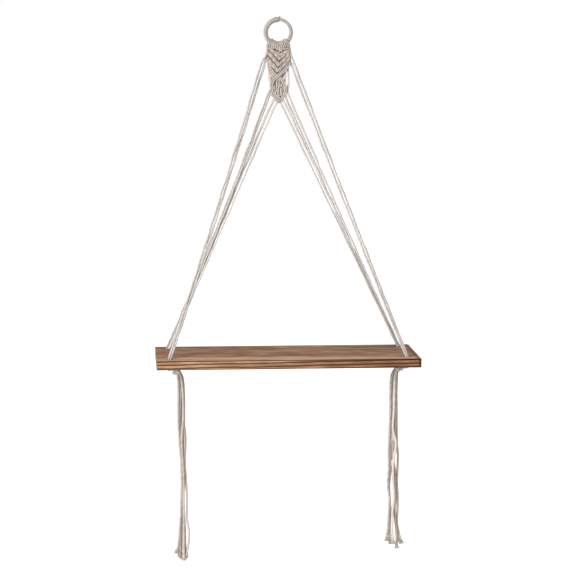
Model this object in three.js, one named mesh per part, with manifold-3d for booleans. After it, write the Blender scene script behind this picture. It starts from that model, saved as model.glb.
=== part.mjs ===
// Macrame wall shelf: a drilled board hung from a cotton-wrapped ring by twelve strands of twisted cord.
// The strands leave six lark's heads on the ring, cross in a knotted head, spread as four slings to the
// holes in the board, gather in one knot under each end of it, and hang on as tassels.
//
// The origin is the top of the ring's hole, where a hook bears. +Z is up, +Y points to the wall and +X is
// to the right for someone facing the wall.
import * as THREE from "three";
import { mergeVertices } from "three/addons/utils/BufferGeometryUtils.js";
import Module from "manifold-3d";

// Driving dimensions, in millimetres
const GAP = 0.3; // between neighbouring pieces
const STRAND = 3.2; // diameter of the twisted cord
const WALL_Y = 7; // plane of the wall, behind the ring's own plane
const RING = { mean: 20.5, section: 7, centreZ: -17.2, sides: 8, steps: 48 };
const BOARD = { width: 420, depth: 127, thickness: 15, shift: 10.9, top: -527.9, easing: 0.6 };
const HOLE = { diameter: 9.6, fromEnd: 21, fromEdge: 15, steps: 8 };
const SPACING = 2.6; // between the middles of strands pressed together in a hole
const ROW = 0.87; // from one row of strands packed like that to the next, as a share of the spacing
const CORD_SIDES = 6;
const TAIL = { sides: 4, across: 3.5, laneX: 4, laneY: 2.4 }; // a square tail, across its corners

// Places worked out from them
const underside = BOARD.top - BOARD.thickness;
const boardY = WALL_Y - BOARD.depth / 2;
const holeInX = BOARD.width / 2 - HOLE.fromEnd;
const holeInY = BOARD.depth / 2 - HOLE.fromEdge;
const holeX = { left: BOARD.shift - holeInX, right: BOARD.shift + holeInX };
const holeY = { front: boardY - holeInY, back: boardY + holeInY };

// The wrapped ring's thickness round the clock: it is thin where the winding stops short, after 12
const RING_SECTIONS = [
  { clock: -180, across: 7.0 },
  { clock: -110, across: 7.0 },
  { clock: -60, across: 7.6 },
  { clock: -25, across: 7.9 },
  { clock: -6, across: 8.7 },
  { clock: 0, across: 8.2 },
  { clock: 6, across: 5.6 },
  { clock: 20, across: 5.1 },
  { clock: 52, across: 4.9 },
  { clock: 66, across: 5.6 },
  { clock: 95, across: 6.2 },
  { clock: 125, across: 6.8 },
  { clock: 180, across: 7.0 },
];
const WRAP_END = { clock: 5, across: 2.2, reach: 1.9 }; // the winding's own end, which sticks out

// The lark's heads: how far round the ring they spread, in degrees, and their legs down to the first row
const LARKS_HEADS = { strands: 12, spread: 51, firstLeg: -17.6, legPitch: 3.2, legY: 1.6 };

// Rows of double half hitches: each is a V, whose two arms run down to its point. Columns x, z.
const V_ROWS = [
  { left: [-14.5, -43], right: [16, -43.5], point: [0.8, -57], thick: 7.6, hitches: 5 },
  { left: [-17.5, -48.5], right: [17.6, -48.2], point: [0.5, -66.5], thick: 7.8, hitches: 5 },
  { left: [-17.6, -58.5], right: [17.6, -57.8], point: [0.4, -77], thick: 7.6, hitches: 5 },
  { left: [-14.2, -72.5], right: [16, -69.8], point: [-0.6, -86.5], thick: 6, hitches: 4 },
];
const CLOSING_V = {
  left: [-9.6, -116.5], right: [11.4, -114.8], point: [1.9, -128.6], thick: 5.6, hitches: 3,
};
const BAR = { middleY: -0.6, ridge: 0.45, sides: 8, stepsPerHitch: 3 };

// The two bands that cross under the last V and frame the leaf, from top to tip. Columns x, z.
const LEAF_BANDS = [
  [
    [2.2, -85], [-2.6, -88.2], [-7.4, -93], [-10.6, -99.4], [-11.4, -105],
    [-10.4, -111], [-7.8, -117], [-3.6, -123], [1.6, -129],
  ],
  [
    [-2.6, -86], [0.6, -88.6], [4.9, -91.6], [8.2, -96.4], [10.6, -101.4],
    [11.9, -107], [11.6, -112.6], [9.6, -117.8], [5.8, -123], [2, -129],
  ],
];
const LEAF_BAND = { across: 4.2, middleY: -1.8 };

// The square knots inside the leaf, as one ridged core: how wide it is on its way down
const LEAF_CORE = {
  top: [-0.4, -94],
  tip: [1.6, -126],
  widths: [5, 10.6, 13.6, 12.6, 14.4, 13.2, 9.4, 6],
  flat: 0.62,
  ridge: 0.7,
  ridges: 5,
  sides: 8,
};

// The slings: each strand has its way through the head (root), leaves it at its exit and runs to its lane
// in a hole. A place is x, y, z. A lane is x, y from the hole's middle, in strand spacings. bow is how far
// the middle of the run sags to the right.
const SLINGS = {
  front_left: [
    {
      root: [[-17.6, -1, -44], [-19.2, -1, -50], [-21, -1.1, -55]],
      exit: [-23.2, -1.2, -61.2],
      lane: [-0.5, 0],
      bow: 0,
    },
    {
      root: [[-17.4, 1.6, -50], [-18.9, 1.6, -56], [-20.4, 1.5, -62]],
      exit: [-22.1, 1.4, -67.6],
      lane: [0.5, 0],
      bow: 2,
    },
  ],
  front_right: [
    {
      root: [[17.6, -1, -44], [19.1, -1, -50], [20.6, -1.1, -56]],
      exit: [21.9, -1.2, -60.9],
      lane: [0.5, 0],
      bow: 0.4,
    },
    {
      root: [[17.4, 1.6, -51], [18, 1.6, -57], [18.7, 1.5, -63]],
      exit: [19.9, 1.4, -68.9],
      lane: [-0.5, 0],
      bow: -1.4,
    },
  ],
  back_left: [
    {
      root: [
        [-17.6, 2, -54], [-16.4, 2, -64], [-15, 2.2, -76],
        [-14, 2.2, -90], [-12.4, 2.6, -99], [-11.2, 2.9, -106],
      ],
      exit: [-16.4, 2.4, -116.6],
      lane: [-1, 0],
      bow: 2,
    },
    {
      root: [
        [-13.6, 1.8, -63], [-12, 1.8, -74], [-11.2, 1.8, -86],
        [-9.6, 2, -98], [-8.6, 2, -107], [-10.4, 0.2, -112.6],
      ],
      exit: [-14.4, -1.4, -118.6],
      lane: [0, 0],
      bow: 2,
    },
    { root: [[-4.6, 0.4, -121.6]], exit: [-8.8, 0.6, -129.8], lane: [0.5, ROW], bow: 0 },
    { root: [[1.6, 0, -126.6]], exit: [-0.9, -0.8, -133.6], lane: [0.5, -ROW], bow: 0 },
  ],
  back_right: [
    { root: [[2, 0, -127]], exit: [4.3, -0.8, -134.2], lane: [-0.5, -ROW], bow: 0 },
    { root: [[5.4, 0.2, -121.6]], exit: [8.5, 0.6, -128.6], lane: [-0.5, ROW], bow: 0.6 },
    {
      root: [
        [12, 1, -72], [11.4, 1.6, -80], [11.4, 1.8, -87], [11, 1.9, -94],
        [10.6, 1.9, -101], [11, 1.6, -109], [11.2, 0.6, -116],
      ],
      exit: [12.8, -0.6, -124.9],
      lane: [0, 0],
      bow: 0.4,
    },
    {
      root: [
        [14.6, 1.4, -68.5], [15.6, 1.6, -76], [16.6, 1.7, -86],
        [17, 1.6, -98], [15.6, 1.4, -105.7], [14.9, 1, -112],
      ],
      exit: [16.9, 0.8, -119.4],
      lane: [1, 0],
      bow: 0,
    },
  ],
};
const SLING_TURN = 5; // before the board's top, where a strand turns down into its hole
const SLING_SAG = [
  { share: 0, sag: 0 },
  { share: 0.25, sag: 0.75 },
  { share: 0.5, sag: 1 },
  { share: 0.75, sag: 0.75 },
  { share: 1, sag: 0 },
];

// The runs under the board: how far strands reach below a hole before the run starts and where it bends
const UNDER = { overhang: 0.5, straight: 0.8, bendY: 2.6, bendZ: 1.6, dip: 4, dipShare: 0.45 };
const KNOT_ENTRY = { y: 3, z: 2.4 }; // from the knot's middle, where the runs enter it

// Under the board: the gathering knot, the middle of its bundle of tails, how much the bundle spreads
// beyond its lanes there, and the six tails with their lane and free end
const TASSELS = {
  left: {
    knot: { x: -167.6, z: -555 },
    lean: 4.4,
    core: [
      { x: -163, z: -559, spread: 0.5 },
      { x: -160.2, z: -567, spread: 0.95 },
      { x: -158.2, z: -580, spread: 1 },
      { x: -158, z: -605, spread: 1 },
      { x: -158.1, z: -632, spread: 1.05 },
      { x: -157.2, z: -668, spread: 1 },
      { x: -155.5, z: -712, spread: 1.05 },
      { x: -154.4, z: -754, spread: 1.1 },
      { x: -154.6, z: -798, spread: 1.15 },
    ],
    tails: [
      { lane: [-1, -1], end: [-169.4, -60, -857] },
      { lane: [0, -1], end: [-158.9, -62, -831] },
      { lane: [1, -1], end: [-148.6, -60, -852] },
      { lane: [-1, 1], end: [-160.6, -53, -870.6] },
      { lane: [0, 1], end: [-154.6, -51.6, -869.4] },
      { lane: [1, 1], end: [-147.6, -52.4, -863] },
    ],
  },
  right: {
    knot: { x: 194.8, z: -553.6 },
    lean: -4,
    core: [
      { x: 190.6, z: -558.6, spread: 0.5 },
      { x: 188.2, z: -568, spread: 0.95 },
      { x: 187, z: -588, spread: 1 },
      { x: 188.4, z: -622, spread: 1.1 },
      { x: 187.8, z: -650, spread: 1.3 },
      { x: 188, z: -684, spread: 1.5 },
      { x: 188.2, z: -720, spread: 1.6 },
      { x: 187, z: -752, spread: 1.75 },
      { x: 186.8, z: -796, spread: 1.6 },
    ],
    tails: [
      { lane: [-1, -1], end: [177.6, -60.5, -839.6] },
      { lane: [0, -1], end: [186.6, -63, -846.4] },
      { lane: [1, -1], end: [205.2, -61, -848] },
      { lane: [-1, 1], end: [181, -51, -852] },
      { lane: [0, 1], end: [190.4, -49.6, -856] },
      { lane: [1, 1], end: [197.6, -51.6, -857.6] },
    ],
  },
};
const KNOT = { height: 15, widths: [7, 13.4, 16, 15.4, 12.6, 7], ridge: 0.8, ridges: 3, sides: 14, steps: 9 };

const cotton = new THREE.MeshStandardMaterial({ color: "#cdc1b2", roughness: 0.95, metalness: 0 });
const wrapping = new THREE.MeshStandardMaterial({ color: "#c2bbb1", roughness: 0.9, metalness: 0 });
const wood = new THREE.MeshStandardMaterial({ color: "#8c6a50", roughness: 0.7, metalness: 0 });

const wasm = await Module();
wasm.setup();

function solidOf(geometry) {
  const bare = geometry.clone();
  bare.deleteAttribute("normal");
  bare.deleteAttribute("uv");
  const merged = mergeVertices(bare, 1e-4);
  return new wasm.Manifold(
    new wasm.Mesh({
      numProp: 3,
      vertProperties: merged.attributes.position.array,
      triVerts: new Uint32Array(merged.index.array),
    }),
  );
}

function geometryOf(solid) {
  const { vertProperties, triVerts } = solid.getMesh();
  const geometry = new THREE.BufferGeometry();
  geometry.setAttribute("position", new THREE.BufferAttribute(vertProperties, 3));
  geometry.setIndex(new THREE.BufferAttribute(triVerts, 1));
  geometry.computeVertexNormals();
  return geometry;
}

const fuse = (solids) => solids.reduce((whole, next) => whole.add(next));
const vec = (place) => new THREE.Vector3(...place);

// Points along a smooth curve, with as many steps between each two places of the table
function along(places, steps) {
  const curve = new THREE.CatmullRomCurve3(places.map(vec), false, "centripetal");
  return curve.getPoints(steps * (places.length - 1));
}

// A closed tube through the stations. radiusAt gives its radius at a share of its length and an angle.
function sweep(stations, sides, radiusAt) {
  const positions = [];
  const faces = [];
  const last = stations.length - 1;
  const across = new THREE.Vector3(0, -1, 0);
  stations.forEach((station, i) => {
    const [before, after] = [stations[Math.max(i - 1, 0)], stations[Math.min(i + 1, last)]];
    const tangent = after.clone().sub(before).normalize();
    across.addScaledVector(tangent, -across.dot(tangent));
    if (across.length() < 1e-3) across.set(1, 0, 0).addScaledVector(tangent, -tangent.x);
    across.normalize();
    const beside = tangent.clone().cross(across);
    for (let j = 0; j < sides; j++) {
      const angle = (2 * Math.PI * j) / sides;
      const radius = radiusAt(i / last, angle);
      const corner = station.clone();
      corner.addScaledVector(across, radius * Math.cos(angle));
      corner.addScaledVector(beside, radius * Math.sin(angle));
      positions.push(corner.x, corner.y, corner.z);
    }
  });
  for (let i = 0; i < last; i++) {
    for (let j = 0; j < sides; j++) {
      const [a, b] = [i * sides + j, i * sides + ((j + 1) % sides)];
      faces.push(a, b, b + sides, a, b + sides, a + sides);
    }
  }
  for (let j = 1; j < sides - 1; j++) {
    faces.push(0, j + 1, j, last * sides, last * sides + j, last * sides + j + 1);
  }
  const geometry = new THREE.BufferGeometry();
  geometry.setAttribute("position", new THREE.Float32BufferAttribute(positions, 3));
  geometry.setIndex(faces);
  return solidOf(geometry);
}

function cord(places, steps, sides = CORD_SIDES, across = STRAND) {
  return sweep(along(places, steps), sides, () => across / 2);
}

// A value from an evenly spaced row of a table, read at a share of the way along it
function between(row, share) {
  const place = share * (row.length - 1);
  const i = Math.min(Math.floor(place), row.length - 2);
  return THREE.MathUtils.lerp(row[i], row[i + 1], place - i);
}

// One arm of a row of hitches: a bar with a slanting ridge for each hitch
function hitchedBar(from, to, thick, hitches) {
  const ends = [from, to].map(([x, z]) => [x, BAR.middleY, z]);
  return sweep(along(ends, hitches * BAR.stepsPerHitch), BAR.sides, (share, angle) => {
    return thick / 2 + BAR.ridge * Math.cos(2 * Math.PI * hitches * share - angle);
  });
}

function vRow({ left, right, point, thick, hitches }) {
  return hitchedBar(left, point, thick, hitches).add(hitchedBar(right, point, thick, hitches));
}

// Where a sling strand leaves the head, where it meets the board, and the direction between the two
function slingEnds(name, strand) {
  const [row, side] = name.split("_");
  const [laneX, laneY] = strand.lane;
  const hole = new THREE.Vector3(holeX[side] + laneX * SPACING, holeY[row] + laneY * SPACING, BOARD.top);
  const exit = vec(strand.exit);
  return { exit, hole, direction: hole.clone().sub(exit).normalize() };
}

// One strand's half of a lark's head: up the back, over the ring and down the front to the first V
function larksHead(index) {
  const { strands, spread, firstLeg, legPitch, legY } = LARKS_HEADS;
  const turn = THREE.MathUtils.degToRad(spread * ((2 * index) / (strands - 1) - 1));
  const outward = new THREE.Vector3(Math.sin(turn), 0, -Math.cos(turn));
  const middle = new THREE.Vector3(0, 0, RING.centreZ).addScaledVector(outward, RING.mean);
  const wrap = RING.section / 2 + GAP + STRAND / 2;
  const legX = firstLeg + legPitch * index;
  const first = V_ROWS[0];
  const slope = (first.point[1] - first.left[1]) / (first.point[0] - first.left[0]);
  const legZ = first.point[1] - slope * Math.abs(legX - first.point[0]);
  const around = [130, 90, 45, 0, -45, -90, -130].map((degrees) => {
    const angle = THREE.MathUtils.degToRad(degrees);
    const place = middle.clone().addScaledVector(outward, -wrap * Math.cos(angle));
    place.y += wrap * Math.sin(angle);
    return place.toArray();
  });
  return cord([[legX, legY, legZ], ...around, [legX, -legY, legZ]], 1);
}

function leafCore() {
  const { top, tip, widths, flat, ridge, ridges, sides } = LEAF_CORE;
  const ends = [top, tip].map(([x, z]) => [x, 0, z]);
  return sweep(along(ends, BAR.stepsPerHitch * ridges), sides, (share, angle) => {
    const radius = between(widths, share) / 2 + ridge * Math.cos(2 * Math.PI * ridges * share - angle);
    return radius * Math.hypot(Math.sin(angle), flat * Math.cos(angle));
  });
}

function macrameHead() {
  const parts = [];
  for (let i = 0; i < LARKS_HEADS.strands; i++) parts.push(larksHead(i));
  V_ROWS.forEach((row) => parts.push(vRow(row)));
  parts.push(vRow(CLOSING_V), leafCore());
  for (const band of LEAF_BANDS) {
    const places = band.map(([x, z]) => [x, LEAF_BAND.middleY, z]);
    parts.push(cord(places, 1, CORD_SIDES, LEAF_BAND.across));
  }
  for (const [name, strands] of Object.entries(SLINGS)) {
    for (const strand of strands) {
      const { exit, direction } = slingEnds(name, strand);
      const before = exit.clone().addScaledVector(direction, -STRAND);
      parts.push(cord([...strand.root, before.toArray(), exit.toArray()], 1));
    }
  }
  return fuse(parts);
}

// One sling: its strands run nearly straight to the board, turn down and pass through the hole side by side
function sling(name) {
  const strands = SLINGS[name].map((strand) => {
    const { exit, hole, direction } = slingEnds(name, strand);
    const start = exit.clone().addScaledVector(direction, GAP);
    const turn = hole.clone().addScaledVector(direction, -SLING_TURN);
    const run = SLING_SAG.map(({ share, sag }) => {
      const place = start.clone().lerp(turn, share);
      place.x += strand.bow * sag;
      return place.toArray();
    });
    const through = [[hole.x, hole.y, BOARD.top], [hole.x, hole.y, underside - UNDER.overhang]];
    return cord([...run, ...through], 2);
  });
  return fuse(strands);
}

// The gathering knot, or the room that it needs
function gatheringKnot({ knot, lean }, extra) {
  const half = KNOT.height / 2 + extra;
  const ends = [[knot.x - lean / 2, boardY, knot.z + half], [knot.x + lean / 2, boardY, knot.z - half]];
  return sweep(along(ends, KNOT.steps), KNOT.sides, (share, angle) => {
    const ridges = KNOT.ridge * Math.cos(KNOT.ridges * (angle + Math.PI * share));
    return between(KNOT.widths, share) / 2 + ridges + extra;
  });
}

function knotTassel(side) {
  const tassel = TASSELS[side];
  const tails = tassel.tails.map(({ lane, end }) => {
    const middle = tassel.core.map(({ x, z, spread }) => [
      x + lane[0] * TAIL.laneX * spread,
      boardY + lane[1] * TAIL.laneY * spread,
      z,
    ]);
    const root = [tassel.knot.x + lane[0], boardY + lane[1], tassel.knot.z];
    return cord([root, ...middle, end], 1, TAIL.sides, TAIL.across);
  });
  return fuse([gatheringKnot(tassel, 0), ...tails]);
}

// The run of one hole's strands under the board, one layer below the other, up to the gathering knot
function underRun(row, side) {
  const { knot } = TASSELS[side];
  const towards = row === "front" ? 1 : -1;
  const start = underside - UNDER.overhang - GAP;
  const strands = SLINGS[row + "_" + side].map(({ lane }) => {
    const [x, y] = [holeX[side] + lane[0] * SPACING, holeY[row] + lane[1] * SPACING];
    const layer = (ROW - lane[1] * towards) * SPACING;
    const level = underside - GAP - STRAND / 2 - layer;
    const dipX = THREE.MathUtils.lerp(x, knot.x, UNDER.dipShare);
    const dipY = THREE.MathUtils.lerp(y, boardY, UNDER.dipShare);
    const entryZ = knot.z + KNOT_ENTRY.z + lane[1] * towards * SPACING;
    const places = [
      [x, y, start],
      [x, y, start - UNDER.straight],
      [x, y + towards * UNDER.bendY, level - UNDER.bendZ],
      [dipX, dipY, level - UNDER.dip],
      [knot.x + lane[0] * SPACING, boardY - towards * KNOT_ENTRY.y, entryZ],
    ];
    return cord(places, 2);
  });
  return fuse(strands).subtract(gatheringKnot(TASSELS[side], GAP));
}

function board() {
  const [w, d] = [BOARD.width / 2 - BOARD.easing, BOARD.depth / 2 - BOARD.easing];
  const outline = new THREE.Shape();
  outline.moveTo(-w, -d).lineTo(w, -d).lineTo(w, d).lineTo(-w, d).closePath();
  for (const x of Object.values(holeX)) {
    for (const y of Object.values(holeY)) {
      const hole = new THREE.Path();
      const radius = HOLE.diameter / 2 + BOARD.easing;
      hole.absarc(x - BOARD.shift, y - boardY, radius, 0, 2 * Math.PI, true);
      outline.holes.push(hole);
    }
  }
  const plank = new THREE.ExtrudeGeometry(outline, {
    depth: BOARD.thickness - 2 * BOARD.easing,
    bevelEnabled: true,
    bevelSize: BOARD.easing,
    bevelThickness: BOARD.easing,
    bevelSegments: 1,
    curveSegments: HOLE.steps,
  });
  plank.translate(0, 0, BOARD.easing);
  return solidOf(plank);
}

function ringSectionAt(clock) {
  const i = RING_SECTIONS.findIndex((row) => row.clock >= clock);
  const [before, after] = [RING_SECTIONS[Math.max(i - 1, 0)], RING_SECTIONS[i]];
  const share = (clock - before.clock) / (after.clock - before.clock || 1);
  return THREE.MathUtils.lerp(before.across, after.across, share);
}

// The ring: a torus in its own plane, swelled and thinned round the clock, with the winding's end
function hangingRing() {
  const torus = new THREE.TorusGeometry(RING.mean, RING.section / 2, RING.sides, RING.steps);
  const places = torus.attributes.position;
  const [place, middle] = [new THREE.Vector3(), new THREE.Vector3()];
  for (let i = 0; i < places.count; i++) {
    place.fromBufferAttribute(places, i);
    middle.set(place.x, place.y, 0).setLength(RING.mean);
    const clock = THREE.MathUtils.radToDeg(Math.atan2(middle.x, middle.y));
    place.sub(middle).multiplyScalar(ringSectionAt(clock) / RING.section).add(middle);
    places.setXYZ(i, place.x, place.y, place.z);
  }
  torus.rotateX(Math.PI / 2).translate(0, 0, RING.centreZ);
  const angle = THREE.MathUtils.degToRad(WRAP_END.clock);
  const outer = RING.mean + RING.section / 2 + WRAP_END.reach;
  const at = (radius) => [radius * Math.sin(angle), 0, RING.centreZ + radius * Math.cos(angle)];
  return solidOf(torus).add(cord([at(RING.mean), at(outer)], 2, CORD_SIDES, WRAP_END.across));
}

function mesh(name, solid, material) {
  const made = new THREE.Mesh(geometryOf(solid), material);
  made.name = name;
  return made;
}

const shelf = new THREE.Group();
shelf.add(mesh("hanging_ring", hangingRing(), wrapping), mesh("macrame_head", macrameHead(), cotton));
for (const name of Object.keys(SLINGS)) {
  shelf.add(mesh("sling_" + name, sling(name), cotton));
}

const plank = mesh("board", board(), wood);
plank.position.set(BOARD.shift, boardY, underside);
shelf.add(plank);

for (const side of Object.keys(TASSELS)) {
  shelf.add(mesh("under_front_" + side, underRun("front", side), cotton));
  shelf.add(mesh("under_back_" + side, underRun("back", side), cotton));
  shelf.add(mesh("knot_tassel_" + side, knotTassel(side), cotton));
}

export default shelf;
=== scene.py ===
"""The looks of a macrame wall shelf: real twisted strands, knots, winding and wood round its solids.

Everything stands in the part's own frame: the origin is the top of the ring's hole, +Z is up and +Y points
to the wall. Tables and sizes are in millimetres, as in the part's source. Blender's units are metres, and
MM turns one into the other where a mesh is made.
"""

import math

import bpy
import numpy as np
from mathutils import Matrix, Vector


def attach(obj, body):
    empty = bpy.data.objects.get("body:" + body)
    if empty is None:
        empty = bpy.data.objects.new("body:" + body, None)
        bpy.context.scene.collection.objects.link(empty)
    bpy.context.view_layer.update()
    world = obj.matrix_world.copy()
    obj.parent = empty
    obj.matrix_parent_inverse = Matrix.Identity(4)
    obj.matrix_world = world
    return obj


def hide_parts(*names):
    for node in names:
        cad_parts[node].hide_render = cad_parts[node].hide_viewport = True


MM = 0.001
FRONT = np.array([0.0, -1.0, 0.0])  # the direction from the wall to the room

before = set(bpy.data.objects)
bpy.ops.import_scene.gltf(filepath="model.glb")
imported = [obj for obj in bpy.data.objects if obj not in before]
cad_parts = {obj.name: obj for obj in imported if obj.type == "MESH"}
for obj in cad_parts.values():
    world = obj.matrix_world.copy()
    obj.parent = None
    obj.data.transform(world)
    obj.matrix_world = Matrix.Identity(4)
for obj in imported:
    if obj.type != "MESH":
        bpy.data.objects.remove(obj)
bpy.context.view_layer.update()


# The camera, at the photograph's viewpoint
FRAME_PX = 576
FOCAL_PX = 1715.13
CAMERA_PLACE = (-0.24602, -2.76745, -0.02489)
CAMERA_TURN = {"yaw": -5.4557, "pitch": -8.3158, "roll": -0.3928}


def add_camera():
    data = bpy.data.cameras.new("camera")
    data.sensor_width = 36
    data.lens = FOCAL_PX / FRAME_PX * data.sensor_width
    data.clip_start, data.clip_end = 0.1, 50
    camera = bpy.data.objects.new("camera", data)
    yaw, pitch, roll = (math.radians(CAMERA_TURN[name]) for name in ("yaw", "pitch", "roll"))
    turn = Matrix.Rotation(yaw, 4, "Z") @ Matrix.Rotation(pitch, 4, "X") @ Matrix.Rotation(roll, 4, "Y")
    level = Matrix.Rotation(math.radians(90), 4, "X")
    camera.matrix_world = Matrix.Translation(CAMERA_PLACE) @ turn @ level
    bpy.context.scene.collection.objects.link(camera)
    bpy.context.scene.camera = camera


add_camera()


# Sizes shared with the part's source
STRAND = 3.2
GAP = 0.3  # between neighbouring pieces
SPACING = 2.6  # between the middles of strands pressed together
ROW = 0.87  # from one row of such strands to the next, as a share of the spacing
RING = {"mean": 20.5, "section": 7.0, "centre_z": -17.2}
RING_CENTRE = (0, 0, RING["centre_z"])
WALL_Y = 7.0
BOARD = {"width": 420.0, "depth": 127.0, "thickness": 15.0, "shift": 10.9, "top": -527.9}
HOLE = {"from_end": 21.0, "from_edge": 15.0}

board_y = WALL_Y - BOARD["depth"] / 2
underside = BOARD["top"] - BOARD["thickness"]
hole_in_x = BOARD["width"] / 2 - HOLE["from_end"]
hole_in_y = BOARD["depth"] / 2 - HOLE["from_edge"]
hole_x = {"left": BOARD["shift"] - hole_in_x, "right": BOARD["shift"] + hole_in_x}
hole_y = {"front": board_y - hole_in_y, "back": board_y + hole_in_y}

# The ring's winding, clock by clock: degrees from 12, thickness
RING_SECTIONS = [
    (-180, 7.0), (-110, 7.0), (-60, 7.6), (-25, 7.9), (-6, 8.7), (0, 8.2), (5, 5.6),
    (20, 5.1), (52, 4.9), (60, 5.6), (66, 5.5), (95, 6.2), (125, 6.8), (180, 7.0),
]
# Its thread: from one turn to the next, how deep the groove between them is, and the mesh round the ring
WINDING = {"pitch": 0.55, "groove": 0.16, "sides": 16, "steps_per_turn": 4}
WRAP_END = {"clock": 5, "across": 2.2, "reach": 1.9, "lay": 4, "step": 0.4}
# Painted shade on the ring's inner side, and how worn and tan the thread is, by the same clock
INNER_SHADE_CLOCK = [
    (-180, 0.1), (-140, 0.4), (-100, 0.8), (-40, 1.1), (-4, 1.4), (6, 0.1), (120, 0.2), (180, 0.1),
]
WORN_CLOCK = [(-180, 0), (-60, 0), (-32, 0.45), (-12, 0.8), (4, 0.7), (6, 0), (180, 0)]

# Each strand of a sling: its way through the head, where it leaves it, its lane in the hole in spacings,
# and how far the middle of its run sags to the right. Places are x, y, z.
SLINGS = {
    "front_left": [
        {
            "root": [(-17.4, -1.4, -38), (-18.6, -1, -47), (-20.8, -1.1, -55)],
            "exit": (-24.6, -1.2, -61.2), "lane": (-0.56, 0), "bow": 0.8,
        },
        {
            "root": [(-14.4, 1.6, -40), (-17.6, 1.6, -52), (-20, 1.5, -61)],
            "exit": (-21.8, 1.4, -67.6), "lane": (0.56, 0), "bow": 1.4,
        },
    ],
    "front_right": [
        {
            "root": [(17.4, -1.4, -38), (18.8, -1, -48), (21, -1.1, -55.6)],
            "exit": (23.4, -1.2, -60.9), "lane": (0.5, 0), "bow": -1.3,
        },
        {
            "root": [(14.4, 1.6, -40), (17.4, 1.6, -53), (19, 1.5, -62)],
            "exit": (21.2, 1.4, -68.9), "lane": (-0.62, 0), "bow": -1.8,
        },
    ],
    "back_left": [
        {
            "root": [
                (-11.2, 2.4, -46), (-15.4, 2.4, -54), (-16.2, 2, -64), (-15, 2.2, -76),
                (-14, 2.2, -90), (-12.4, 2.6, -99), (-11.4, 2.9, -106),
            ],
            "exit": (-15.6, 2.4, -116.6), "lane": (-0.8, 0), "bow": 3,
        },
        {
            "root": [
                (-8, 2.4, -48), (-12, 1.8, -60), (-12, 1, -74), (-11.6, 0.6, -86),
                (-10.4, 1.2, -98), (-9.4, 2, -107), (-10.6, 0.2, -112.6),
            ],
            "exit": (-14, -1.4, -118.6), "lane": (0.1, 0), "bow": 3,
        },
        {"root": [(-4.6, 0.4, -121.6)], "exit": (-9.6, 0.6, -130), "lane": (0.8, ROW), "bow": -0.4},
        {"root": [(1.2, 0, -125)], "exit": (-4.4, -0.8, -133.6), "lane": (0.8, -ROW), "bow": 0},
    ],
    "back_right": [
        {"root": [(2, 0, -125)], "exit": (6.4, -0.8, -134.2), "lane": (-0.1, -ROW), "bow": -0.4},
        {"root": [(5.4, 0.2, -120)], "exit": (9.9, 0.6, -128.6), "lane": (-0.3, ROW), "bow": 1.6},
        {
            "root": [
                (8, 2.4, -48), (11.6, 1.8, -60), (12, 1, -72), (11.4, 1.6, -80), (11.4, 1.8, -87),
                (10.8, 1.9, -94), (10.6, 1.9, -101), (11.4, 1.6, -109), (12, 0.6, -116),
            ],
            "exit": (14.4, -0.6, -124.9), "lane": (0, 0), "bow": -1.4,
        },
        {
            "root": [
                (11.2, 2.4, -46), (15.4, 1.8, -58), (15.4, 1.4, -68.5), (15.8, 1.6, -76),
                (16.8, 1.7, -86), (17, 1.6, -98), (15.8, 1.4, -105.7), (15.2, 1, -112),
            ],
            "exit": (17.9, 0.8, -119.4), "lane": (1, 0), "bow": -1.3,
        },
    ],
}
SLING_STRAND = 3.6  # looser than the strands pressed in the knots
SLING_GROOVE = 0.08  # drawn tight, so the plies stand out less
SLING_DRIFT = 0.5
# The back right strands have lighter tones: painted light where the front strands shade them.
SLING_TONES = {
    "front_left": (0.3, 0.45), "front_right": (0.3, 0.45),
    "back_left": (0.2, 0.3, 0.5, 0.7), "back_right": (0.5, 0.75, 0.45, 0.6),
}
SLING_TURN = 5.0  # before the board's top, where a strand turns down into its hole
# The sag along the run, both as shares
SLING_SAG = [(0, 0), (0.25, 0.75), (0.5, 1), (0.75, 0.75), (1, 0)]
# The runs under the board: how far they go straight on below a hole, where they bend, how far they dip on
# their way, and how deep the front ones lie among the strands there, in spacings
UNDER = {"straight": 1.3, "bend_y": 2.6, "bend_z": 0.6, "dip": 3.4, "dip_share": 0.45, "front_row": 0.2}
KNOT_ENTRY = {"y": 3.0, "z": 2.4}  # from the knot's middle, where the runs enter it

# Rows of hitches, arm by arm: how thick, how many turns, and the way in x and z from the head's side down
# to the point of its V
V_ARMS = [
    (5, 5, [(-5, -46.4), (-1, -49.8), (3.4, -53)]),
    (5.6, 7, [(14.4, -44.8), (9.4, -48.6), (3.4, -53)]),
    (7.8, 11, [(-15.6, -40.8), (-11, -44.6), (-6.9, -48.4), (-3, -52.6), (2.6, -59)]),
    (6.4, 10, [(17.2, -42.4), (14.6, -46.6), (9.6, -52.2), (6.4, -55.2), (2.6, -59)]),
    (7.6, 12, [(-17.8, -48.3), (-12.6, -52.6), (-8.6, -57.4), (-4.4, -62.6), (1.2, -69)]),
    (6.6, 11, [(17.8, -46.6), (15.4, -53), (12, -58.4), (7, -63.2), (1.2, -69)]),
    (7.8, 12, [(-17.8, -58), (-13, -63.4), (-8.6, -68.6), (-4.6, -73), (0.2, -78.4)]),
    (6.8, 12, [(18.4, -53.4), (17, -59), (14.4, -63.6), (10, -68.4), (5, -73.6), (0.2, -78.4)]),
    (5.6, 7, [(-9.8, -115.5), (-5.4, -121), (-1, -125.4), (1.9, -128.6)]),
]
ARM = {"y": -1.8, "row_y": 0.2, "step": 0.2}  # each arm lies a little deeper than the one before
# One turn of a hitch: its pull makes it thin, its ends are tucked in behind, it leans along the bar by a
# share of its reach, and two turns of one tone follow two of the other
HITCH = {"across": 2.9, "lay": 7, "degrees": range(-170, 171, 34), "lean": 0.45, "tones": (0.3, 0.55)}

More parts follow.
